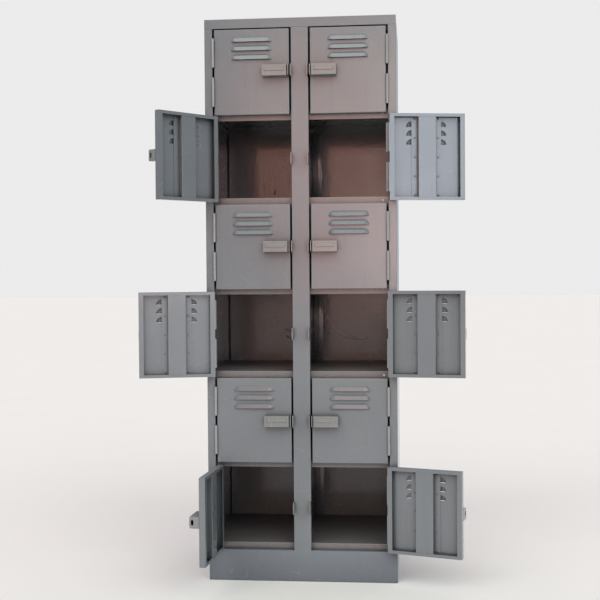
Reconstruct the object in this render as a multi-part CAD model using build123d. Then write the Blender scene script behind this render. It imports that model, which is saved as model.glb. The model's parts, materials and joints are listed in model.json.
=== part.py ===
"""Twelve-compartment sheet-steel locker bank, two columns of six tiers, with padlock hasps.

Frame: +Z up, the doors face -Y, +X is to the right of a person facing the doors.
The origin is on the floor, at the middle of the cabinet body. Units are millimetres.
"""
import os
from build123d import *

# ---- driving dimensions of the cabinet body ----
HEIGHT = 1800.0
WIDTH = 610.0
DEPTH = 460.0
SHEET = 1.0
TIERS = 6
HEADER_HEIGHT = 30.0
PLINTH_HEIGHT = 100.0
PLINTH_INSET = 1.5
PLINTH_FLANGE = 26.0
SIDE_STILE = 25.0
CENTRE_STILE = 55.0
STILE_RETURN = 21.0
TOP_REAR_FLANGE = 15.0
BACK_RECESS = 9.0
BACK_GAP = 4.0
BEND_RADIUS = 1.4

# ---- shelves ----
SHELF_ABOVE_GAP = 18.0
SHELF_LIP = 31.0
SHELF_REAR_FLANGE = 23.0
SHELF_SIDE_FLANGE = 12.0
PAN_RISE = 20.0

# ---- doors ----
DOOR_HEIGHT = 272.0
DOOR_DEPTH = 20.0
DOOR_BEND_RADIUS = 2.5
HINGE_GAP = 6.0
FREE_GAP = 5.5
END_LIP = 10.0
SIDE_LIP = 15.0
STIFFENER_TOP = 57.0
STIFFENER_FLANGE = 19.0
STIFFENER_SHEET = 1.5
LEFT_REST_ANGLES = (0.0, 128.0, 0.0, 165.0, 0.0, 94.0)
RIGHT_REST_ANGLES = (0.0, 192.0, 0.0, 173.0, 0.0, 162.0)

# ---- louvres ----
LOUVRE_COUNT = 3
LOUVRE_PITCH = 28.0
LOUVRE_FIRST_EDGE = 40.25
LOUVRE_LENGTH = 130.0
LOUVRE_RISE = 17.0
LOUVRE_PROUD = 7.0
LOUVRE_SHOULDER_RISE = 11.5
LOUVRE_SHOULDER_PROUD = 5.2
LANCE_GAP = 0.5

# ---- hinges ----
BARREL_RADIUS = 4.5
PIN_RADIUS = 2.5
PIN_CLEARANCE = 0.05
PIN_PROUD = 1.0
AXIS_FORWARD = 4.0
LEAF_THICKNESS = 2.0
LEAF_DEPTH = 18.0
HINGE_LENGTH = 91.0
HINGE_END_OFFSET = 28.25
KNUCKLE_GAP = 1.5
KNUCKLE_RELIEF = 0.6

# ---- padlock hasps ----
BOX_LENGTH = 79.0
BOX_HEIGHT = 35.0
BOX_PROUD = 30.0
BOX_SHEET = 1.5
BOX_RIB_HEIGHT = 13.0
BOX_RIB_PROUD = 2.0
BOX_RIB_LIFT = 4.0
BOX_RIB_INSET = 8.0
BOX_RIB_ROUND = 1.4
BOX_END_INSET = 6.0
TAB_THICKNESS = 2.5
TAB_HEIGHT = 36.0
TAB_PROUD = 30.0
TAB_NOSE_RADIUS = 5.0
SLOT_WIDTH = 8.0
SLOT_HEIGHT = 17.0
SLOT_CENTRE_PROUD = 20.8
STAPLE_HEIGHT = 38.0

# ---- values worked out from the driving dimensions ----
HALF_WIDTH = WIDTH / 2
FRONT = -DEPTH / 2
REAR = DEPTH / 2
HEADER_BOTTOM = HEIGHT - HEADER_HEIGHT
TIER_PITCH = (HEADER_BOTTOM - PLINTH_HEIGHT) / TIERS
OPENING_WIDTH = HALF_WIDTH - SIDE_STILE - CENTRE_STILE / 2
DOOR_WIDTH = OPENING_WIDTH - HINGE_GAP - FREE_GAP
AXIS_X = HALF_WIDTH - SIDE_STILE - HINGE_GAP / 2
AXIS_Y = FRONT - AXIS_FORWARD
LIP_FACE = FRONT + STILE_RETURN
WEB_FRONT = LIP_FACE + SHEET
BACK_FACE = REAR - BACK_RECESS
KNUCKLE_LENGTH = (HINGE_LENGTH - KNUCKLE_GAP) / 2
HINGE_MID = DOOR_HEIGHT / 2 - HINGE_END_OFFSET - HINGE_LENGTH / 2
# the door's own frame: hinge axis at x = y = 0, free edge towards +X, inside towards +Y, middle at z = 0
DOOR_NEAR = HINGE_GAP / 2
DOOR_FAR = DOOR_NEAR + DOOR_WIDTH
DOOR_FRONT = AXIS_FORWARD
DOOR_BACK = DOOR_FRONT + DOOR_DEPTH
DOOR_MIDDLE = (DOOR_NEAR + DOOR_FAR) / 2
COLUMNS = (("left", -1, LEFT_REST_ANGLES), ("right", 1, RIGHT_REST_ANGLES))


def block(x_range, y_range, z_range):
    """Box between two limits on each axis."""
    low = Vector(min(x_range), min(y_range), min(z_range))
    high = Vector(max(x_range), max(y_range), max(z_range))
    size = high - low
    return Pos(*((low + high) / 2)) * Box(size.X, size.Y, size.Z)


def joined(pieces):
    """One body made of pieces that overlap or share faces."""
    body = pieces[0]
    for piece in pieces[1:]:
        body = body + piece
    return body


def rounded(body, radius, is_wanted):
    """The body with the chosen edges rounded."""
    edges = [edge for edge in body.edges() if is_wanted(edge)]
    return fillet(edges, radius)


def runs_along(edge, axis):
    """True for a straight edge along the named axis."""
    direction = edge.tangent_at(0.5)
    return edge.geom_type == GeomType.LINE and abs(getattr(direction, axis)) > 0.999


def near(value, target):
    return abs(value - target) < 0.01


def mirrored(body):
    """The same piece for the other column."""
    return mirror(body, about=Plane.YZ)


def tier_middle(tier):
    """Height of the middle of a compartment's door; tier 1 is at the top."""
    return HEADER_BOTTOM - (tier - 0.5) * TIER_PITCH


def tier_foot(tier):
    """Height of the middle of the gap under a tier's door."""
    return HEADER_BOTTOM - tier * TIER_PITCH


# ---- cabinet body ----
def side_panel():
    """Left side: flat web from the front stile to the rear, carried forward above the stile."""
    skin = (-HALF_WIDTH, SHEET - HALF_WIDTH)
    web = block(skin, (WEB_FRONT, REAR), (PLINTH_HEIGHT, HEIGHT - SHEET))
    head = block(skin, (FRONT + SHEET, WEB_FRONT), (HEADER_BOTTOM + SHEET, HEIGHT - SHEET))
    return web + head


def side_stile():
    """Left front stile: a leg flush with the side web, the face, and the return inside the doorway."""
    outer = -HALF_WIDTH
    inner = outer + SIDE_STILE
    heights = (PLINTH_HEIGHT, HEADER_BOTTOM)
    stile = joined([
        block((outer, outer + SHEET), (FRONT, WEB_FRONT), heights),
        block((outer, inner), (FRONT, FRONT + SHEET), heights),
        block((inner - SHEET, inner), (FRONT, LIP_FACE), heights),
    ])
    return rounded(stile, BEND_RADIUS, lambda edge: runs_along(edge, "Z")
                   and near(edge.center().Y, FRONT)
                   and (near(edge.center().X, outer) or near(edge.center().X, inner)))


def back_panel():
    """Back sheet set forward of the rear edge, with joggled sides that leave a groove in each corner."""
    half = HALF_WIDTH - SHEET
    face_half = half - BACK_GAP
    heights = (PLINTH_HEIGHT, HEIGHT - SHEET)
    pieces = [block((-face_half, face_half), (BACK_FACE, BACK_FACE + SHEET), heights)]
    for side in (-1, 1):
        step = (side * face_half, side * (face_half - SHEET))
        rim = (side * half, side * (face_half - SHEET))
        pieces.append(block(step, (BACK_FACE, REAR), heights))
        pieces.append(block(rim, (REAR - SHEET, REAR), heights))
    return joined(pieces)


def top_panel():
    """Top sheet with the header folded down in front, its door stop, and a rear flange."""
    span = (-HALF_WIDTH, HALF_WIDTH)
    stop_span = (SIDE_STILE - HALF_WIDTH, HALF_WIDTH - SIDE_STILE)
    stop_bottom = HEADER_BOTTOM + SHELF_ABOVE_GAP - SHELF_LIP
    rear_half = HALF_WIDTH - SHEET - BACK_GAP - SHEET
    panel = joined([
        block(span, (FRONT, REAR), (HEIGHT - SHEET, HEIGHT)),
        block(span, (FRONT, FRONT + SHEET), (HEADER_BOTTOM, HEIGHT)),
        block(span, (FRONT, WEB_FRONT), (HEADER_BOTTOM, HEADER_BOTTOM + SHEET)),
        block((-rear_half, rear_half), (REAR - SHEET, REAR), (HEIGHT - TOP_REAR_FLANGE, HEIGHT)),
    ])
    for side in (-1, 1):
        stop = sorted((side * (CENTRE_STILE / 2), side * stop_span[1]))
        panel = panel + block(stop, (LIP_FACE, WEB_FRONT), (stop_bottom, HEADER_BOTTOM + SHEET))
    panel = rounded(panel, BEND_RADIUS, lambda edge: runs_along(edge, "X")
                    and near(edge.center().Z, HEADER_BOTTOM) and near(edge.center().Y, FRONT))
    return rounded(panel, BEND_RADIUS, lambda edge: runs_along(edge, "X")
                   and near(edge.center().Z, HEIGHT) and near(edge.center().Y, FRONT))


def centre_stile():
    """Channel between the two columns of doors."""
    half = CENTRE_STILE / 2
    heights = (PLINTH_HEIGHT, HEADER_BOTTOM)
    stile = joined([
        block((-half, half), (FRONT, FRONT + SHEET), heights),
        block((-half, SHEET - half), (FRONT, LIP_FACE), heights),
        block((half - SHEET, half), (FRONT, LIP_FACE), heights),
    ])
    return rounded(stile, BEND_RADIUS, lambda edge: runs_along(edge, "Z")
                   and near(edge.center().Y, FRONT) and near(abs(edge.center().X), half))


def centre_partition():
    """Flat sheet between the columns, from the centre stile to the back sheet."""
    half = SHEET / 2
    lower = block((-half, half), (FRONT + SHEET, BACK_FACE), (PLINTH_HEIGHT, HEADER_BOTTOM))
    upper = block((-half, half), (WEB_FRONT, BACK_FACE), (HEADER_BOTTOM, HEIGHT - SHEET))
    return lower + upper


def tray(surface, lip_depth):
    """Left shelf: surface, front lip, rear flange and side flanges, all folded down."""
    outer = SHEET - HALF_WIDTH
    inner = -SHEET / 2
    level = (surface - SHEET, surface)
    shelf = joined([
        block((outer, inner), (LIP_FACE, BACK_FACE), level),
        block((outer, inner), (LIP_FACE, WEB_FRONT), (surface - lip_depth, surface)),
        block((outer, inner), (BACK_FACE - SHEET, BACK_FACE), (surface - SHELF_REAR_FLANGE, surface)),
        block((outer, outer + SHEET), (LIP_FACE, BACK_FACE), (surface - SHELF_SIDE_FLANGE, surface)),
        block((inner - SHEET, inner), (LIP_FACE, BACK_FACE), (surface - SHELF_SIDE_FLANGE, surface)),
    ])
    return rounded(shelf, BEND_RADIUS, lambda edge: runs_along(edge, "X")
                   and near(edge.center().Z, surface) and near(edge.center().Y, LIP_FACE))


def shelves():
    """Five shelves in each column."""
    left = [tray(tier_foot(tier) + SHELF_ABOVE_GAP, SHELF_LIP) for tier in range(1, TIERS)]
    right = [mirrored(shelf) for shelf in left]
    return left + right


def bottom_pan():
    """Left floor of the lowest compartment, standing on the plinth."""
    surface = PLINTH_HEIGHT + PAN_RISE
    outer = SHEET - HALF_WIDTH
    inner = -SHEET / 2
    foot = (PLINTH_HEIGHT, surface)
    pan = joined([
        block((outer, inner), (LIP_FACE, BACK_FACE), (surface - SHEET, surface)),
        block((outer, inner), (LIP_FACE, WEB_FRONT), foot),
        block((outer, outer + SHEET), (WEB_FRONT, BACK_FACE), foot),
        block((outer, inner), (BACK_FACE - SHEET, BACK_FACE), foot),
    ])
    return rounded(pan, BEND_RADIUS, lambda edge: runs_along(edge, "X")
                   and near(edge.center().Z, surface) and near(edge.center().Y, LIP_FACE))


def plinth():
    """Welded base: four walls with inward flanges at the floor and under the body."""
    half_x = HALF_WIDTH - PLINTH_INSET
    back = REAR - PLINTH_INSET
    shell = block((-half_x, half_x), (FRONT, back), (0, PLINTH_HEIGHT))
    shell = rounded(shell, 2 * BEND_RADIUS, lambda edge: runs_along(edge, "Z"))
    wall_void = block((SHEET - half_x, half_x - SHEET), (FRONT + SHEET, back - SHEET),
                      (SHEET, PLINTH_HEIGHT - SHEET))
    flange_void = block((PLINTH_FLANGE - half_x, half_x - PLINTH_FLANGE),
                        (FRONT + PLINTH_FLANGE, back - PLINTH_FLANGE), (0, PLINTH_HEIGHT))
    return shell - wall_void - flange_void


# ---- hinges, in the door's own frame ----
def hinge_leaf(side, knuckle_up, bore_radius):
    """One leaf: side +1 is welded to the door, side -1 to the stile return."""
    face = side * DOOR_NEAR
    inner_face = side * (DOOR_NEAR - LEAF_THICKNESS)
    relief = BARREL_RADIUS + KNUCKLE_RELIEF
    half = HINGE_LENGTH / 2
    own = (half - KNUCKLE_LENGTH, half) if knuckle_up else (-half, KNUCKLE_LENGTH - half)
    plate = block((inner_face, face), (relief, relief + LEAF_DEPTH - KNUCKLE_RELIEF), (-half, half))
    neck = block((inner_face, face), (PIN_RADIUS, relief), own)
    middle = sum(own) / 2
    barrel = Pos(0, 0, middle) * Cylinder(BARREL_RADIUS, KNUCKLE_LENGTH)
    bore = Pos(0, 0, middle) * Cylinder(bore_radius, KNUCKLE_LENGTH)
    return joined([plate, neck, barrel]) - bore


def hinge_pin():
    """Pin through both knuckles, with rounded ends."""
    length = HINGE_LENGTH + 2 * PIN_PROUD
    pin = Cylinder(PIN_RADIUS, length)
    return fillet(pin.edges().filter_by(GeomType.CIRCLE), PIN_PROUD)


def at_both_hinges(piece):
    """The piece at the upper and the lower hinge of a door."""
    return [Pos(0, 0, side * HINGE_MID) * piece for side in (1, -1)]


# ---- door pieces, in the door's own frame ----
def louvre_form(set_back, bottom):
    """Bulge with a steep rim, a gently sloping brow and conical ends, cut flat at its open lower edge."""
    base = DOOR_FRONT + set_back
    shoulder = base - LOUVRE_SHOULDER_PROUD
    nose = base - LOUVRE_PROUD
    straight = LOUVRE_LENGTH - 2 * LOUVRE_RISE
    section = Polygon((base, -LOUVRE_RISE), (base, LOUVRE_RISE), (shoulder, LOUVRE_SHOULDER_RISE),
                      (nose, 0), (shoulder, -LOUVRE_SHOULDER_RISE), align=None)
    bar = Pos(-straight / 2, 0, 0) * extrude(Plane.YZ * section, amount=straight)
    rim = Pos(0, (base + shoulder) / 2, 0) * Rot(90, 0, 0) * Cone(
        LOUVRE_RISE, LOUVRE_SHOULDER_RISE, LOUVRE_SHOULDER_PROUD)
    brow = Pos(0, (shoulder + nose) / 2, 0) * Rot(90, 0, 0) * Cone(LOUVRE_SHOULDER_RISE, 0, shoulder - nose)
    ends = []
    for side in (-1, 1):
        outside = block((0, side * LOUVRE_RISE), (nose, base), (-LOUVRE_RISE, LOUVRE_RISE))
        ends.append(Pos(side * straight / 2, 0, 0) * ((rim + brow) & outside))
    window = block((-LOUVRE_LENGTH, LOUVRE_LENGTH), (nose, base), (bottom, LOUVRE_RISE))
    return Pos(DOOR_MIDDLE, 0, 0) * (joined([bar] + ends) & window)


def door_pan():
    """Pressed door: face, four flanges, return lips and three louvres."""
    half = DOOR_HEIGHT / 2
    near_x = DOOR_NEAR
    far_x = DOOR_FAR
    inside = DOOR_FRONT + SHEET
    shell = block((near_x, far_x), (DOOR_FRONT, DOOR_BACK), (-half, half))
    shell = rounded(shell, DOOR_BEND_RADIUS, lambda edge: near(edge.center().Y, DOOR_FRONT))
    cavity = block((near_x + SHEET, far_x - SHEET), (inside, DOOR_BACK - SHEET), (SHEET - half, half - SHEET))
    cavity = rounded(cavity, DOOR_BEND_RADIUS - SHEET, lambda edge: near(edge.center().Y, inside))
    mouth = block((near_x + SIDE_LIP, far_x - SIDE_LIP), (inside, DOOR_BACK),
                  (END_LIP - half, half - END_LIP))
    pan = shell - cavity - mouth
    hood = louvre_form(0, 0)
    opening = louvre_form(SHEET, -LANCE_GAP)
    for index in range(LOUVRE_COUNT):
        lift = Pos(0, 0, half - LOUVRE_FIRST_EDGE - index * LOUVRE_PITCH)
        pan = pan + lift * hood
        pan = pan - lift * opening
    return pan


def door_stiffener():
    """Hat section welded up the middle of the door's inside."""
    half = DOOR_HEIGHT / 2 - DOOR_BEND_RADIUS
    back = DOOR_BACK - SHEET
    base = DOOR_FRONT + SHEET
    gauge = STIFFENER_SHEET
    top_half = STIFFENER_TOP / 2
    foot_half = top_half + STIFFENER_FLANGE
    heights = (-half, half)
    hat = joined([
        block((-top_half, top_half), (back - gauge, back), heights),
        block((-top_half, gauge - top_half), (base, back), heights),
        block((top_half - gauge, top_half), (base, back), heights),
        block((-foot_half, gauge - top_half), (base, base + gauge), heights),
        block((top_half - gauge, foot_half), (base, base + gauge), heights),
    ])
    hat = rounded(hat, BEND_RADIUS, lambda edge: runs_along(edge, "Z")
                  and near(edge.center().Y, back) and near(abs(edge.center().X), top_half))
    return Pos(DOOR_MIDDLE, 0, 0) * hat


def eye_plate(height):
    """Upright plate with rounded nose corners and an oblong eye; its root is at y = 0."""
    plate = block((0, TAB_THICKNESS), (-TAB_PROUD, 0), (-height / 2, height / 2))
    plate = rounded(plate, TAB_NOSE_RADIUS, lambda edge: runs_along(edge, "X")
                    and near(edge.center().Y, -TAB_PROUD))
    slot = Pos(TAB_THICKNESS / 2, -SLOT_CENTRE_PROUD, 0) * Box(3 * TAB_THICKNESS, SLOT_WIDTH, SLOT_HEIGHT)
    slot = rounded(slot, SLOT_WIDTH / 2 - 0.5, lambda edge: runs_along(edge, "X"))
    return plate - slot


def hasp_box():
    """Folded box on the door's front, open towards the free edge, with the eye tab on its foot."""
    right = DOOR_FAR - BOX_END_INSET
    left = right - BOX_LENGTH
    nose = DOOR_FRONT - BOX_PROUD
    half = BOX_HEIGHT / 2
    box = block((left, right), (nose, DOOR_FRONT), (-half, half))
    rib_nose = nose - BOX_RIB_PROUD
    rib = block((left + BOX_RIB_INSET, right - BOX_RIB_INSET), (rib_nose, DOOR_FRONT),
                (BOX_RIB_LIFT - BOX_RIB_HEIGHT / 2, BOX_RIB_LIFT + BOX_RIB_HEIGHT / 2))
    rib = rounded(rib, BOX_RIB_ROUND, lambda edge: near(edge.center().Y, rib_nose))
    box = rounded(box, BEND_RADIUS, lambda edge: near(edge.center().Y, nose))
    hollow = block((left + BOX_SHEET, right), (nose + BOX_SHEET, DOOR_FRONT),
                   (BOX_SHEET - half, half - BOX_SHEET))
    foot_half = half - BOX_SHEET
    foot = block((left + BOX_LENGTH / 2, DOOR_FAR), (DOOR_FRONT - BOX_SHEET, DOOR_FRONT),
                 (-foot_half, foot_half))
    tab = Pos(DOOR_FAR - TAB_THICKNESS, DOOR_FRONT, 0) * eye_plate(TAB_HEIGHT)
    return joined([(box + rib) - hollow, foot, tab])


def hasp_staple():
    """Left column's eye plate on the edge of the centre stile, for the top tier."""
    return Pos(-CENTRE_STILE / 2, FRONT, 0) * eye_plate(STAPLE_HEIGHT)


# ---- assembly ----
def write(name, solids):
    """One STEP file for one named piece."""
    flat = [solid for piece in solids for solid in piece.solids()]
    shape = flat[0] if len(flat) == 1 else Compound(flat)
    export_step(shape, os.path.join("parts", name + ".step"))


def door_place(side, tier, angle):
    """Where a door's own frame sits in the cabinet when the door stands open by an angle."""
    return Pos(side * AXIS_X, AXIS_Y, tier_middle(tier)) * Rot(0, 0, side * angle)


def write_doors():
    pan = door_pan()
    stiffener = door_stiffener()
    box = hasp_box()
    leaves = at_both_hinges(hinge_leaf(1, True, PIN_RADIUS + PIN_CLEARANCE))
    pieces = {"pan": [pan], "stiffener": [stiffener], "hasp_box": [box], "hinge_leaves": leaves}
    for column, side, angles in COLUMNS:
        for tier, angle in enumerate(angles, start=1):
            place = door_place(side, tier, angle)
            for label, solids in pieces.items():
                shaped = solids if side < 0 else [mirrored(solid) for solid in solids]
                write(f"door_{column}_{tier}_{label}", [place * solid for solid in shaped])


def write_frame_hardware():
    """Stile leaves, pins and staples of all twelve doors."""
    leaf = hinge_leaf(-1, False, PIN_RADIUS)
    hardware = {"frame_hinge_leaves": at_both_hinges(leaf), "hinge_pins": at_both_hinges(hinge_pin())}
    for name, solids in hardware.items():
        placed = []
        for _, side, _ in COLUMNS:
            shaped = solids if side < 0 else [mirrored(solid) for solid in solids]
            for tier in range(1, TIERS + 1):
                placed += [door_place(side, tier, 0) * solid for solid in shaped]
        write(name, placed)
    staple = hasp_staple()
    staples = []
    for shaped in (staple, mirrored(staple)):
        staples += [Pos(0, 0, tier_middle(tier)) * shaped for tier in range(1, TIERS + 1)]
    write("hasp_staples", staples)


def write_body():
    side = side_panel()
    stile = side_stile()
    pan = bottom_pan()
    write("side_panels", [side, mirrored(side)])
    write("side_stiles", [stile, mirrored(stile)])
    write("back_panel", [back_panel()])
    write("top_panel", [top_panel()])
    write("centre_stile", [centre_stile()])
    write("centre_partition", [centre_partition()])
    write("shelves", shelves())
    write("bottom_pans", [pan, mirrored(pan)])
    write("plinth", [plinth()])


os.makedirs("parts", exist_ok=True)
write_body()
write_frame_hardware()
write_doors()
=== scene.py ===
"""Looks of the twelve-compartment locker bank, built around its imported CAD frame. Metres throughout."""
import json
import math

import bmesh
import bpy
from mathutils import Matrix, Vector


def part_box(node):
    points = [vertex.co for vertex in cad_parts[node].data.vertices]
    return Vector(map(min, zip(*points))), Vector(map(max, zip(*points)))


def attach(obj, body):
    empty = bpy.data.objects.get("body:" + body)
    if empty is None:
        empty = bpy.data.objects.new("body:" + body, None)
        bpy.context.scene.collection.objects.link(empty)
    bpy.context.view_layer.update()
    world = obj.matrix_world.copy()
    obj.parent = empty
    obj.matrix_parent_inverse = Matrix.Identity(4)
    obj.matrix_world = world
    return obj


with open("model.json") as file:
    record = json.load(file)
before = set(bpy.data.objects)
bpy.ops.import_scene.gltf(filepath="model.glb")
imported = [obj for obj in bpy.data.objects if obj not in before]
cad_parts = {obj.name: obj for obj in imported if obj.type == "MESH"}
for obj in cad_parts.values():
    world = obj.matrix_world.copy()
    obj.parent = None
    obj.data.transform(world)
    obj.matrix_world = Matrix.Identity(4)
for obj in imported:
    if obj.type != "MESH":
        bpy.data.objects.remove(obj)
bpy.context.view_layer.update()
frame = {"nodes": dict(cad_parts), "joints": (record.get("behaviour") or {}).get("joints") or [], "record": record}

joints = {joint["name"]: joint for joint in frame["joints"]}

# ---- paints, as linear colours ----
GREY_ENAMEL = (0.162, 0.172, 0.189)
# grey enamel given a warm tint that paints in the warm light inside the compartments
INSIDE_ENAMEL_AND_WARM_LIGHT = (0.166, 0.150, 0.152)
# grey enamel made bluer to paint in the cool light that falls on the plinth
PLINTH_ENAMEL_AND_COOL_LIGHT = (0.158, 0.174, 0.204)
# enamel lighter than the doors', partly a painted highlight on the hasp boxes and their ribs
HASP_ENAMEL_AND_HIGHLIGHT = (0.205, 0.206, 0.208)
# enamel lighter than the doors', partly a painted highlight on the hinge barrels
HINGE_ENAMEL_AND_HIGHLIGHT = (0.270, 0.275, 0.280)
# dark brown of streaks and specks of grime, and also the painted shade in creases and under parts
GRIME_AND_SHADE = (0.050, 0.043, 0.038)
GAP_SHADE = (0.006, 0.005, 0.005)
CHIP_PRIMER = (0.110, 0.075, 0.060)
# pale grey of scratches and rubbed edges; along the edges it also paints in a highlight
RUBBED_EDGE_AND_HIGHLIGHT = (0.420, 0.425, 0.430)
RUST = (0.16, 0.07, 0.035)
FLOOR_DARKER = (0.815, 0.785, 0.78)
FLOOR_PALER = (0.845, 0.815, 0.81)

# ---- finishes: slot -> colour, dullness, orange peel, waviness, grime and painted shade in creases, edge rubbing and painted edge highlight, scratches ----
FINISHES = {
    "body_enamel": (GREY_ENAMEL, 0.15, 0.30, 0.30, 0.55, 0.35, 0.02),
    "interior_enamel": (INSIDE_ENAMEL_AND_WARM_LIGHT, 0.18, 0.62, 0.03, 0.60, 0.20, 0.10),
    "plinth_enamel": (PLINTH_ENAMEL_AND_COOL_LIGHT, 0.18, 0.45, 0.30, 0.80, 0.60, 0.16),
    "door_enamel": (GREY_ENAMEL, 0.15, 0.38, 0.30, 0.55, 0.45, 0.02),
    "hasp_enamel": (HASP_ENAMEL_AND_HIGHLIGHT, 0.15, 0.30, 0.10, 0.60, 0.80, 0.15),
    "hinge_enamel": (HINGE_ENAMEL_AND_HIGHLIGHT, 0.15, 0.20, 0.10, 0.60, 0.80, 0.15),
}
# slot -> colour, roughness, how metallic
STEELS = {
    "pin_steel": ((0.55, 0.56, 0.57), 0.34, 0.9),
    "weld_steel": ((0.58, 0.55, 0.53), 0.42, 0.35),
}

# ---- sheet-metal sizes that the added details sit against ----
SHELF_ABOVE_GAP = 0.018
SHELF_REAR_FLANGE = 0.023
JOINT_FLANGE_WIDTH = 0.033
JOINT_FLANGE_THICKNESS = 0.0008
DOOR_MIDDLE = 0.1235
DOOR_INNER_FACE = 0.005
FLANGE_GAUGE = 0.0015
STIFFENER_FLANGE_MIDDLE = 0.038
FIT_GAP = 0.0005
TOP_PANEL_GAP = 0.002
TIERS = range(1, 7)

# ---- rivets and spot welds: how far across, and how far proud of the sheet ----
LIP_RIVET_ACROSS = 0.0075
LIP_RIVET_PROUD = 0.0008
LIP_RIVET_INSET = 0.042
LIP_RIVET_DROP = 0.013
DOOR_WELD_ACROSS = 0.0075
DOOR_WELD_PROUD = 0.0012
DOOR_WELD_ROWS = 5
DOOR_WELD_PITCH = 0.060
REAR_WELD_ACROSS = 0.0034
REAR_WELD_PROUD = 0.0003
REAR_WELD_ROWS = 12
REAR_WELD_INSET = 0.0025

# ---- marks on the back walls: distance from the partition, height above the compartment's floor ----
RIDGE_LINE = ((0.089, 0.096), (0.112, 0.0885), (0.134, 0.084), (0.158, 0.079), (0.180, 0.077), (0.195, 0.084))
SLANTING_RUNS = (((0.100, 0.112), (0.076, 0.103)), ((0.098, 0.088), (0.078, 0.077)))
UPRIGHT_RUNS = ((0.175, 0.073, 0.065), (0.1355, 0.058, 0.038))
RUN_SAG = 0.002
RUN_WIDTH = 0.0064

# ---- camera: place in metres, angles in degrees, lens in millimetres ----
CAMERA_PLACE = (0.3594, -3.8730, 0.9984)
CAMERA_YAW = 5.687
CAMERA_PITCH = -1.484
CAMERA_ROLL = 0.407
CAMERA_LENS = 68.91
SENSOR_WIDTH = 36.0

# ---- studio ----
FLOOR_REACH = 40.0
BACKDROP = (0.840, 0.835, 0.835)
# coloured soft patches of sky: azimuth from the front and height in degrees, edge in degrees, radiance
SKY_PATCHES = {
    "warm_upper": ((-8.8, 9), (2.8, 12), 1.5, (3.1, 1.45, 1.15)),
    "warm_lower": ((-6.2, 9), (-2, 2.8), 1.5, (3.4, 1.4, 1.15)),
    "warm_core": ((-2.5, 4), (-2, 4), 2.0, (2.2, 2.2, 2.1)),
    "pale_upper": ((-2, 8), (6, 15), 3.0, (1.1, 1.8, 1.7)),
    "right_low": ((13, 21), (-2, 5), 3.0, (4.6, 3.7, 3.8)),
    "right": ((20, 33), (0, 20), 4.0, (3.6, 4.0, 4.7)),
    "high_band": ((-50, 55), (20, 58), 6.0, (2.7, 2.9, 2.7)),
    "side_right": ((55, 95), (15, 50), 8.0, (1.1, 1.5, 1.5)),
    "side_left": ((-100, -50), (10, 50), 8.0, (0.6, 0.7, 0.8)),
    "overhead": ((-200, 200), (58, 120), 10.0, (0.85, 0.60, 0.55)),
}
BEHIND_GLOW = (0.50, 0.53, 0.58)


# ---- node materials ----
class Shader:
    """The node tree of a material or a world, written one node at a time."""

    def __init__(self, owner, output_kind, coordinates):
        owner.use_nodes = True
        self.owner = owner
        self.tree = owner.node_tree
        self.tree.nodes.clear()
        self.output = self.node(output_kind)
        self.point = self.node("ShaderNodeTexCoord").outputs[coordinates]

    def node(self, kind, inputs=None, **settings):
        made = self.tree.nodes.new(kind)
        for key, value in settings.items():
            setattr(made, key, value)
        for key, value in (inputs or {}).items():
            self.feed(made.inputs[key], value)
        return made

    def feed(self, socket, value):
        if isinstance(value, bpy.types.NodeSocket):
            self.tree.links.new(value, socket)
        elif isinstance(value, tuple) and len(value) == 3 and socket.type == "RGBA":
            socket.default_value = (*value, 1.0)
        else:
            socket.default_value = value

    def math(self, operation, first, second=0.0, clamp=False):
        made = self.node("ShaderNodeMath", {0: first, 1: second}, operation=operation, use_clamp=clamp)
        return made.outputs[0]

    def noise(self, scale, detail=2.0, roughness=0.5, stretch=(1.0, 1.0, 1.0), offset=0.0):
        mapping = self.node("ShaderNodeMapping", {"Vector": self.point, "Scale": stretch,
                                                  "Location": (offset, offset / 2, -offset)})
        made = self.node("ShaderNodeTexNoise", {"Vector": mapping.outputs[0], "Scale": scale,
                                                "Detail": detail, "Roughness": roughness})
        return made.outputs["Fac"]

    def step(self, value, low, high):
        """0 below low, 1 above high, smooth between."""
        made = self.node("ShaderNodeMapRange", {"Value": value, "From Min": low, "From Max": high},
                         interpolation_type="SMOOTHSTEP")
        return made.outputs["Result"]

    def spread(self, value, low, high):
        """A value from 0 to 1 carried to the range low to high."""
        made = self.node("ShaderNodeMapRange", {"Value": value, "To Min": low, "To Max": high})
        return made.outputs["Result"]

    def mix(self, share, first, second, blend="MIX"):
        made = self.node("ShaderNodeMix", data_type="RGBA", blend_type=blend)
        self.feed(made.inputs[0], share)
        self.feed(made.inputs[6], first)
        self.feed(made.inputs[7], second)
        return made.outputs[2]

    def bump(self, height, strength, distance, normal=None):
        inputs = {"Height": height, "Strength": strength, "Distance": distance}
        if normal is not None:
            inputs["Normal"] = normal
        return self.node("ShaderNodeBump", inputs).outputs[0]

    def finish(self, shader):
        self.tree.links.new(shader, self.output.inputs["Surface"])
        return self.owner


def new_paint(name):
    return Shader(bpy.data.materials.new(name), "ShaderNodeOutputMaterial", "Object")


def edge_mask(paint, radius):
    """1 along corners of the metal, from how far a bevelled normal turns away from the true one."""
    bevel = paint.node("ShaderNodeBevel", {"Radius": radius}, samples=4)
    geometry = paint.node("ShaderNodeNewGeometry")
    made = paint.node("ShaderNodeVectorMath", {0: bevel.outputs[0], 1: geometry.outputs["Normal"]},
                      operation="DOT_PRODUCT")
    return paint.step(paint.math("SUBTRACT", 1.0, made.outputs["Value"]), 0.02, 0.22)


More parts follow.
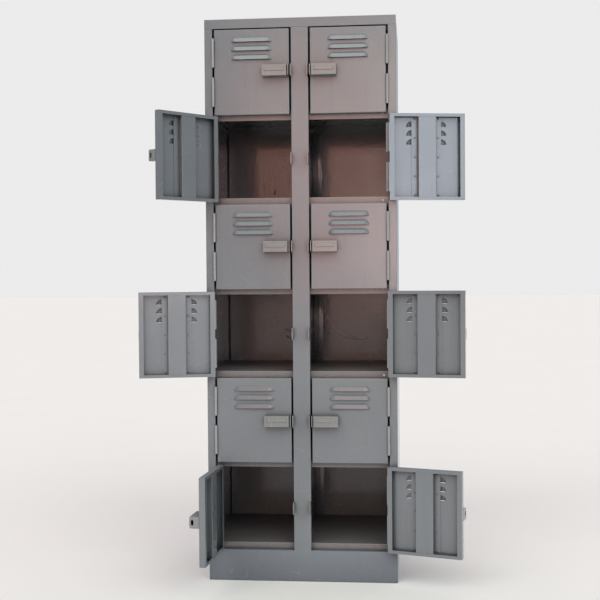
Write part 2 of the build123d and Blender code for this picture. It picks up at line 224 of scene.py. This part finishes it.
def enamel(name, colour, dullness, peel, wave, grime_and_shade, rubbing_and_highlight, scratches):
    """Stoved enamel on steel: orange peel, mottling, streaks, soiling and painted shade in creases, worn edges
    lightened partly as a painted highlight, chips and scratches, and painted shade deep in recesses.
    """
    paint = new_paint(name)
    cloud = paint.noise(2.6, 3.0)
    patches = paint.noise(34.0, 3.0, offset=3.0)
    streaks = paint.noise(48.0, 2.0, stretch=(1.0, 1.0, 0.06), offset=7.0)
    specks = paint.noise(900.0, 2.0, 0.7, offset=1.0)
    tone = paint.mix(paint.step(cloud, 0.3, 0.7), tuple(0.94 * part for part in colour),
                     tuple(1.06 * part for part in colour))
    tone = paint.mix(paint.spread(patches, 0.0, 0.14), tone, tuple(1.20 * part for part in colour))
    tone = paint.mix(paint.math("MULTIPLY", paint.step(streaks, 0.55, 0.8), 0.08), tone, GRIME_AND_SHADE)
    tone = paint.mix(paint.math("MULTIPLY", paint.step(specks, 0.62, 0.75), 0.12), tone, GRIME_AND_SHADE)
    edge = edge_mask(paint, 0.0012)
    # rubbed edges lightened in patches: partly wear, partly a painted highlight along the edges
    rubbed_and_highlight = paint.math("MULTIPLY", edge, paint.step(paint.noise(70.0, 3.0, offset=5.0), 0.35, 0.7))
    tone = paint.mix(paint.math("MULTIPLY", rubbed_and_highlight, rubbing_and_highlight), tone, RUBBED_EDGE_AND_HIGHLIGHT)
    chips = paint.math("MULTIPLY", edge, paint.step(paint.noise(160.0, 4.0, 0.7, offset=9.0), 0.66, 0.70))
    tone = paint.mix(paint.math("MULTIPLY", chips, rubbing_and_highlight), tone, CHIP_PRIMER)
    scratch = scratch_mask(paint)
    tone = paint.mix(paint.math("MULTIPLY", scratch, scratches), tone, RUBBED_EDGE_AND_HIGHLIGHT)
    # grime and painted shade: darker where ambient occlusion finds creases and parts standing close over the sheet
    corner = paint.node("ShaderNodeAmbientOcclusion", {"Distance": 0.018}, samples=6).outputs["AO"]
    dirt_and_shade = paint.math("MULTIPLY", paint.step(corner, 0.80, 0.25), paint.spread(patches, 0.45, 1.0))
    tone = paint.mix(paint.math("MULTIPLY", dirt_and_shade, grime_and_shade), tone, GRIME_AND_SHADE)
    gap = paint.step(corner, 0.30, 0.08)
    tone = paint.mix(gap, tone, GAP_SHADE)
    # painted shade: deep in the compartments and other hollows the colour falls to 12 % of itself
    hollow_shade = paint.node("ShaderNodeAmbientOcclusion", {"Distance": 0.30}, samples=4).outputs["AO"]
    tone = paint.mix(paint.step(hollow_shade, 0.75, 0.05), tone, tuple(0.12 * part for part in colour))
    upward = paint.node("ShaderNodeSeparateXYZ", {0: paint.node("ShaderNodeNewGeometry").outputs["Normal"]})
    dust = paint.math("MULTIPLY", paint.step(upward.outputs["Z"], 0.80, 0.98), paint.spread(cloud, 0.6, 1.0))
    roughness = paint.spread(paint.noise(18.0, 3.0, offset=2.0), dullness, dullness + 0.13)
    for mask, share in ((dirt_and_shade, 0.20), (scratch, 0.15), (dust, 0.40), (gap, 0.30)):
        roughness = paint.math("ADD", roughness, paint.math("MULTIPLY", mask, share))
    panel = paint.bump(paint.noise(4.5, 1.0, offset=4.0), wave, 0.004)
    skin = paint.bump(paint.noise(115.0, 2.0, 0.45, offset=6.0), peel, 0.0008, panel)
    skin = paint.bump(scratch, 0.2, -0.0002, skin)
    clean = paint.math("SUBTRACT", 1.0, paint.math("MAXIMUM", dust, gap), clamp=True)
    shader = paint.node("ShaderNodeBsdfPrincipled", {
        "Base Color": tone,
        "Roughness": roughness,
        "Normal": skin,
        "Specular IOR Level": paint.spread(clean, 0.12, 0.50),
        "Coat Weight": paint.math("MULTIPLY", clean, 0.5),
    })
    shader.inputs["Coat Roughness"].default_value = 0.10
    return paint.finish(shader.outputs[0])


def scratch_mask(paint):
    """Thin broken lines in two directions."""
    marks = None
    for stretch, offset in (((9.0, 9.0, 2.0), 1.0), ((2.5, 2.5, 8.0), 4.0)):
        mapping = paint.node("ShaderNodeMapping", {"Vector": paint.point, "Scale": stretch,
                                                   "Rotation": (0.3, 0.5, offset)})
        cells = paint.node("ShaderNodeTexVoronoi", {"Vector": mapping.outputs[0], "Scale": 1.6},
                           feature="DISTANCE_TO_EDGE")
        line = paint.step(cells.outputs["Distance"], 0.006, 0.001)
        line = paint.math("MULTIPLY", line, paint.step(paint.noise(11.0, 3.0, offset=offset), 0.56, 0.64))
        marks = line if marks is None else paint.math("MAXIMUM", marks, line)
    return marks


def bright_steel(name, colour, roughness, metallic):
    """Bare steel with faint turning marks, stains and specks of rust."""
    paint = new_paint(name)
    stain = paint.noise(120.0, 4.0, 0.6)
    tone = paint.mix(paint.step(stain, 0.4, 0.75), colour, tuple(0.6 * part for part in colour))
    rust = paint.step(paint.noise(260.0, 3.0, 0.7, offset=2.0), 0.64, 0.72)
    tone = paint.mix(paint.math("MULTIPLY", rust, 0.5), tone, RUST)
    rings = paint.noise(700.0, 2.0, stretch=(0.05, 0.05, 1.0))
    shader = paint.node("ShaderNodeBsdfPrincipled", {
        "Base Color": tone,
        "Roughness": paint.spread(stain, roughness - 0.08, roughness + 0.12),
        "Normal": paint.bump(rings, 0.15, 0.0003),
    })
    shader.inputs["Metallic"].default_value = metallic
    return paint.finish(shader.outputs[0])


def dress(piece, material):
    piece.data.materials.clear()
    piece.data.materials.append(material)


def dress_frame(materials):
    """Every CAD node that stays visible gets its slot's finish."""
    for part in frame["record"]["subparts"]:
        dress(frame["nodes"][part["node"]], materials[part["material_slot"]])


# ---- studio ----
def floor():
    """Plain pale floor."""
    mesh = bpy.data.meshes.new("floor")
    reach = FLOOR_REACH
    mesh.from_pydata([(-reach, -reach, 0), (reach, -reach, 0), (reach, reach, 0), (-reach, reach, 0)],
                     [], [(0, 1, 2, 3)])
    piece = bpy.data.objects.new("floor", mesh)
    bpy.context.scene.collection.objects.link(piece)
    paint = new_paint("floor_paint")
    tone = paint.mix(paint.spread(paint.noise(1.5, 4.0), 0.0, 1.0), FLOOR_DARKER, FLOOR_PALER)
    shader = paint.node("ShaderNodeBsdfPrincipled", {"Base Color": tone, "Roughness": 0.9})
    shader.inputs["Specular IOR Level"].default_value = 0.0
    dress(piece, paint.finish(shader.outputs[0]))


def sky_patch(sky, azimuth, height, spans, edge):
    """1 inside a patch of sky, fading to 0 across its soft edge."""
    inside = 1.0
    for angle, (low, high) in zip((azimuth, height), spans):
        low, high, soft = (math.radians(value) for value in (low, high, edge))
        inside = sky.math("MULTIPLY", inside, sky.step(angle, low - soft / 2, low + soft / 2))
        inside = sky.math("MULTIPLY", inside, sky.step(angle, high + soft / 2, high - soft / 2))
    return inside


def studio():
    """Pale backdrop for the eye; for the light, the coloured patches of sky and a faint glow behind."""
    world = bpy.data.worlds.new("studio")
    bpy.context.scene.world = world
    sky = Shader(world, "ShaderNodeOutputWorld", "Generated")
    parts = sky.node("ShaderNodeSeparateXYZ", {0: sky.point}).outputs
    azimuth = sky.math("ARCTAN2", parts["X"], sky.math("MULTIPLY", parts["Y"], -1.0))
    height = sky.math("ARCSINE", parts["Z"])
    glow = sky.mix(sky.step(parts["Y"], 0.0, 0.3), (0.0, 0.0, 0.0), BEHIND_GLOW)
    for azimuths, heights, edge, radiance in SKY_PATCHES.values():
        patch = sky_patch(sky, azimuth, height, (azimuths, heights), edge)
        glow = sky.mix(1.0, glow, sky.mix(patch, (0.0, 0.0, 0.0), radiance), "ADD")
    light = sky.node("ShaderNodeBackground", {"Color": glow})
    backdrop = sky.node("ShaderNodeBackground", {"Color": BACKDROP})
    path = sky.node("ShaderNodeLightPath")
    chosen = sky.node("ShaderNodeMixShader", {0: path.outputs["Is Camera Ray"], 1: light.outputs[0],
                                              2: backdrop.outputs[0]})
    sky.finish(chosen.outputs[0])
    bpy.context.scene.view_settings.view_transform = "Standard"


def camera():
    """Camera turned by yaw, pitch and roll from a level look along +Y."""
    yaw, pitch, roll = (math.radians(angle) for angle in (CAMERA_YAW, CAMERA_PITCH, CAMERA_ROLL))
    forward = Vector((-math.sin(yaw) * math.cos(pitch), math.cos(yaw) * math.cos(pitch), math.sin(pitch)))
    level = Vector((math.cos(yaw), math.sin(yaw), 0.0))
    upright = level.cross(forward)
    right = math.cos(roll) * level - math.sin(roll) * upright
    up = math.sin(roll) * level + math.cos(roll) * upright
    data = bpy.data.cameras.new("camera")
    data.sensor_width = SENSOR_WIDTH
    data.lens = CAMERA_LENS
    eye = bpy.data.objects.new("camera", data)
    eye.matrix_world = Matrix.Translation(CAMERA_PLACE) @ Matrix((right, up, -forward)).transposed().to_4x4()
    bpy.context.scene.collection.objects.link(eye)
    bpy.context.scene.camera = eye


# ---- added details ----
def slotted(mesh, name, body, slot):
    """A closed mesh as a piece that rides on a body and takes a slot's finish."""
    bmesh.ops.recalc_face_normals(mesh, faces=mesh.faces)
    data = bpy.data.meshes.new(name)
    mesh.to_mesh(data)
    mesh.free()
    for face in data.polygons:
        face.use_smooth = True
    piece = bpy.data.objects.new(name, data)
    bpy.context.scene.collection.objects.link(piece)
    dress(piece, materials[slot])
    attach(piece, body)
    return piece


def add_dome(mesh, centre, across, height, axis):
    """Flattened ball that stands proud of a sheet by its height; the axis is X, Y or Z."""
    size = Vector((across, across, across))
    size["XYZ".index(axis)] = 2 * height
    place = Matrix.Translation(centre) @ Matrix.Diagonal(size.to_4d())
    bmesh.ops.create_uvsphere(mesh, u_segments=14, v_segments=8, radius=0.5, matrix=place)


def add_ridge(mesh, points, width, height):
    """Tapered bead along points on a wall that faces -Y."""
    rings = []
    for index, point in enumerate(points):
        share = index / (len(points) - 1)
        swell = math.sqrt(max(0.0, 1.0 - (2 * share - 1) ** 4)) + 0.05
        before = Vector(points[max(0, index - 1)])
        after = Vector(points[min(len(points) - 1, index + 1)])
        along = (after - before).normalized()
        side = along.cross(Vector((0, 1, 0)))
        ring = []
        for turn in range(8):
            angle = turn * math.tau / 8
            offset = side * (width / 2 * math.cos(angle)) + Vector((0, height * math.sin(angle), 0))
            ring.append(mesh.verts.new(Vector(point) + offset * swell))
        rings.append(ring)
    for first, second in zip(rings, rings[1:]):
        for turn in range(8):
            mesh.faces.new((first[turn], first[turn - 1], second[turn - 1], second[turn]))
    mesh.faces.new(rings[0])
    mesh.faces.new(rings[-1])


def smooth_path(corners, count):
    """Points along a smooth curve through the corners."""
    path = []
    spans = len(corners) - 1
    for step in range(count):
        place = step / (count - 1) * spans
        index = min(int(place), spans - 1)
        share = place - index
        around = [Vector(corners[min(max(index + shift, 0), spans)]) for shift in (-1, 0, 1, 2)]
        pull_in, pull_out = (around[2] - around[0]) / 2, (around[3] - around[1]) / 2
        square, cube = share ** 2, share ** 3
        path.append((2 * cube - 3 * square + 1) * around[1] + (cube - 2 * square + share) * pull_in
                    + (3 * square - 2 * cube) * around[2] + (cube - square) * pull_out)
    return path


def shelf_level(tier):
    """Height of the floor of a compartment and the pitch of the tiers, from the doors' joints."""
    middles = [joints[f"door_left_{number}_hinge"]["pos_m"][2] for number in (1, 2)]
    pitch = middles[0] - middles[1]
    return joints[f"door_left_{tier}_hinge"]["pos_m"][2] - pitch / 2 + SHELF_ABOVE_GAP, pitch


def partition_flange():
    """The partition's flange on the back sheet, one length in each right-hand compartment."""
    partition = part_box("centre_partition")[1][0]
    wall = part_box("back_panel")[0][1]
    mesh = bmesh.new()
    for tier in TIERS:
        level, pitch = shelf_level(tier)
        if tier == TIERS[0]:
            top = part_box("top_panel")[1][2] - TOP_PANEL_GAP
        else:
            top = level + pitch - SHELF_REAR_FLANGE - FIT_GAP
        low = Vector((partition, wall - JOINT_FLANGE_THICKNESS, level + FIT_GAP))
        high = Vector((partition + JOINT_FLANGE_WIDTH, wall, top))
        place = Matrix.Translation((low + high) / 2) @ Matrix.Diagonal((high - low).to_4d())
        bmesh.ops.create_cube(mesh, size=1.0, matrix=place)
    piece = slotted(mesh, "partition_flange", "cabinet", "interior_enamel")
    bevel = piece.modifiers.new("edge", "BEVEL")
    bevel.width = 0.0003
    bevel.segments = 2
    return piece


def lip_rivets():
    """One flat rivet near the outer end of each right-hand shelf's front lip."""
    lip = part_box("shelves")[0][1]
    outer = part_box("shelves")[1][0]
    mesh = bmesh.new()
    for tier in TIERS[:-1]:
        level, _ = shelf_level(tier)
        place = (outer - LIP_RIVET_INSET, lip, level - LIP_RIVET_DROP)
        add_dome(mesh, place, LIP_RIVET_ACROSS, LIP_RIVET_PROUD, "Y")
    slotted(mesh, "lip_rivets", "cabinet", "weld_steel")


def wall_marks():
    """Raised paint runs, bumps and a long ridge on the back walls of three open compartments."""
    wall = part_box("back_panel")[0][1]
    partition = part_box("centre_partition")[1][0]
    mesh = bmesh.new()
    level, _ = shelf_level(4)
    corners = [(partition + x, wall, level + z) for x, z in RIDGE_LINE]
    add_ridge(mesh, smooth_path(corners, 26), 0.0050, 0.0010)
    slotted(mesh, "wall_scratch", "cabinet", "weld_steel")
    mesh = bmesh.new()
    for start, end in SLANTING_RUNS:
        bend = ((start[0] + end[0]) / 2, (start[1] + end[1]) / 2 + RUN_SAG)
        corners = [(-partition - x, wall, level + z) for x, z in (start, bend, end)]
        add_ridge(mesh, smooth_path(corners, 9), RUN_WIDTH, 0.0009)
    add_dome(mesh, (-partition - 0.221, wall, level + 0.186), 0.0075, 0.0018, "Y")
    add_dome(mesh, (-partition - 0.218, wall, level + 0.212), 0.0045, 0.0010, "Y")
    level, _ = shelf_level(2)
    for x, top, bottom in UPRIGHT_RUNS:
        corners = [(-partition - x, wall, level + height) for height in (top, (top + bottom) / 2, bottom)]
        add_ridge(mesh, smooth_path(corners, 9), RUN_WIDTH, 0.0010)
    slotted(mesh, "wall_marks", "cabinet", "interior_enamel")


def door_place(column, tier):
    """Where a door's own frame sits at rest: hinge axis at x = y = 0, free edge towards +X."""
    joint = joints[f"door_{column}_{tier}_hinge"]
    side = -1 if column == "left" else 1
    angle = math.radians(-joint["range_deg"][0])
    flip = Matrix.Diagonal((-side, 1, 1, 1))
    return Matrix.Translation(joint["pos_m"]) @ Matrix.Rotation(side * angle, 4, "Z") @ flip


def door_welds(column, tier):
    """Raised spot welds down both flanges of a door's stiffener."""
    body = f"door_{column}_{tier}"
    mesh = bmesh.new()
    for side in (-1, 1):
        across = DOOR_MIDDLE + side * STIFFENER_FLANGE_MIDDLE
        for row in range(DOOR_WELD_ROWS):
            height = (row - (DOOR_WELD_ROWS - 1) // 2) * DOOR_WELD_PITCH
            place = (across, DOOR_INNER_FACE + FLANGE_GAUGE, height)
            add_dome(mesh, place, DOOR_WELD_ACROSS, DOOR_WELD_PROUD, "Y")
    bmesh.ops.transform(mesh, matrix=door_place(column, tier), verts=mesh.verts)
    slotted(mesh, f"{body}_spot_welds", body, "door_enamel")


def rear_spot_welds():
    """Raised spot welds down both rims of the back sheet."""
    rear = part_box("back_panel")[1][1]
    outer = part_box("back_panel")[1][0]
    low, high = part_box("back_panel")[0][2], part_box("back_panel")[1][2]
    mesh = bmesh.new()
    for side in (-1, 1):
        for row in range(REAR_WELD_ROWS):
            height = low + (row + 0.5) * (high - low) / REAR_WELD_ROWS
            place = (side * (outer - REAR_WELD_INSET), rear, height)
            add_dome(mesh, place, REAR_WELD_ACROSS, REAR_WELD_PROUD, "Y")
    slotted(mesh, "rear_spot_welds", "cabinet", "body_enamel")


materials = {slot: enamel(slot, *finish) for slot, finish in FINISHES.items()}
for slot, steel in STEELS.items():
    materials[slot] = bright_steel(slot, *steel)
dress_frame(materials)
partition_flange()
lip_rivets()
wall_marks()
rear_spot_welds()
for column in ("left", "right"):
    for tier in TIERS:
        door_welds(column, tier)
floor()
studio()
camera()
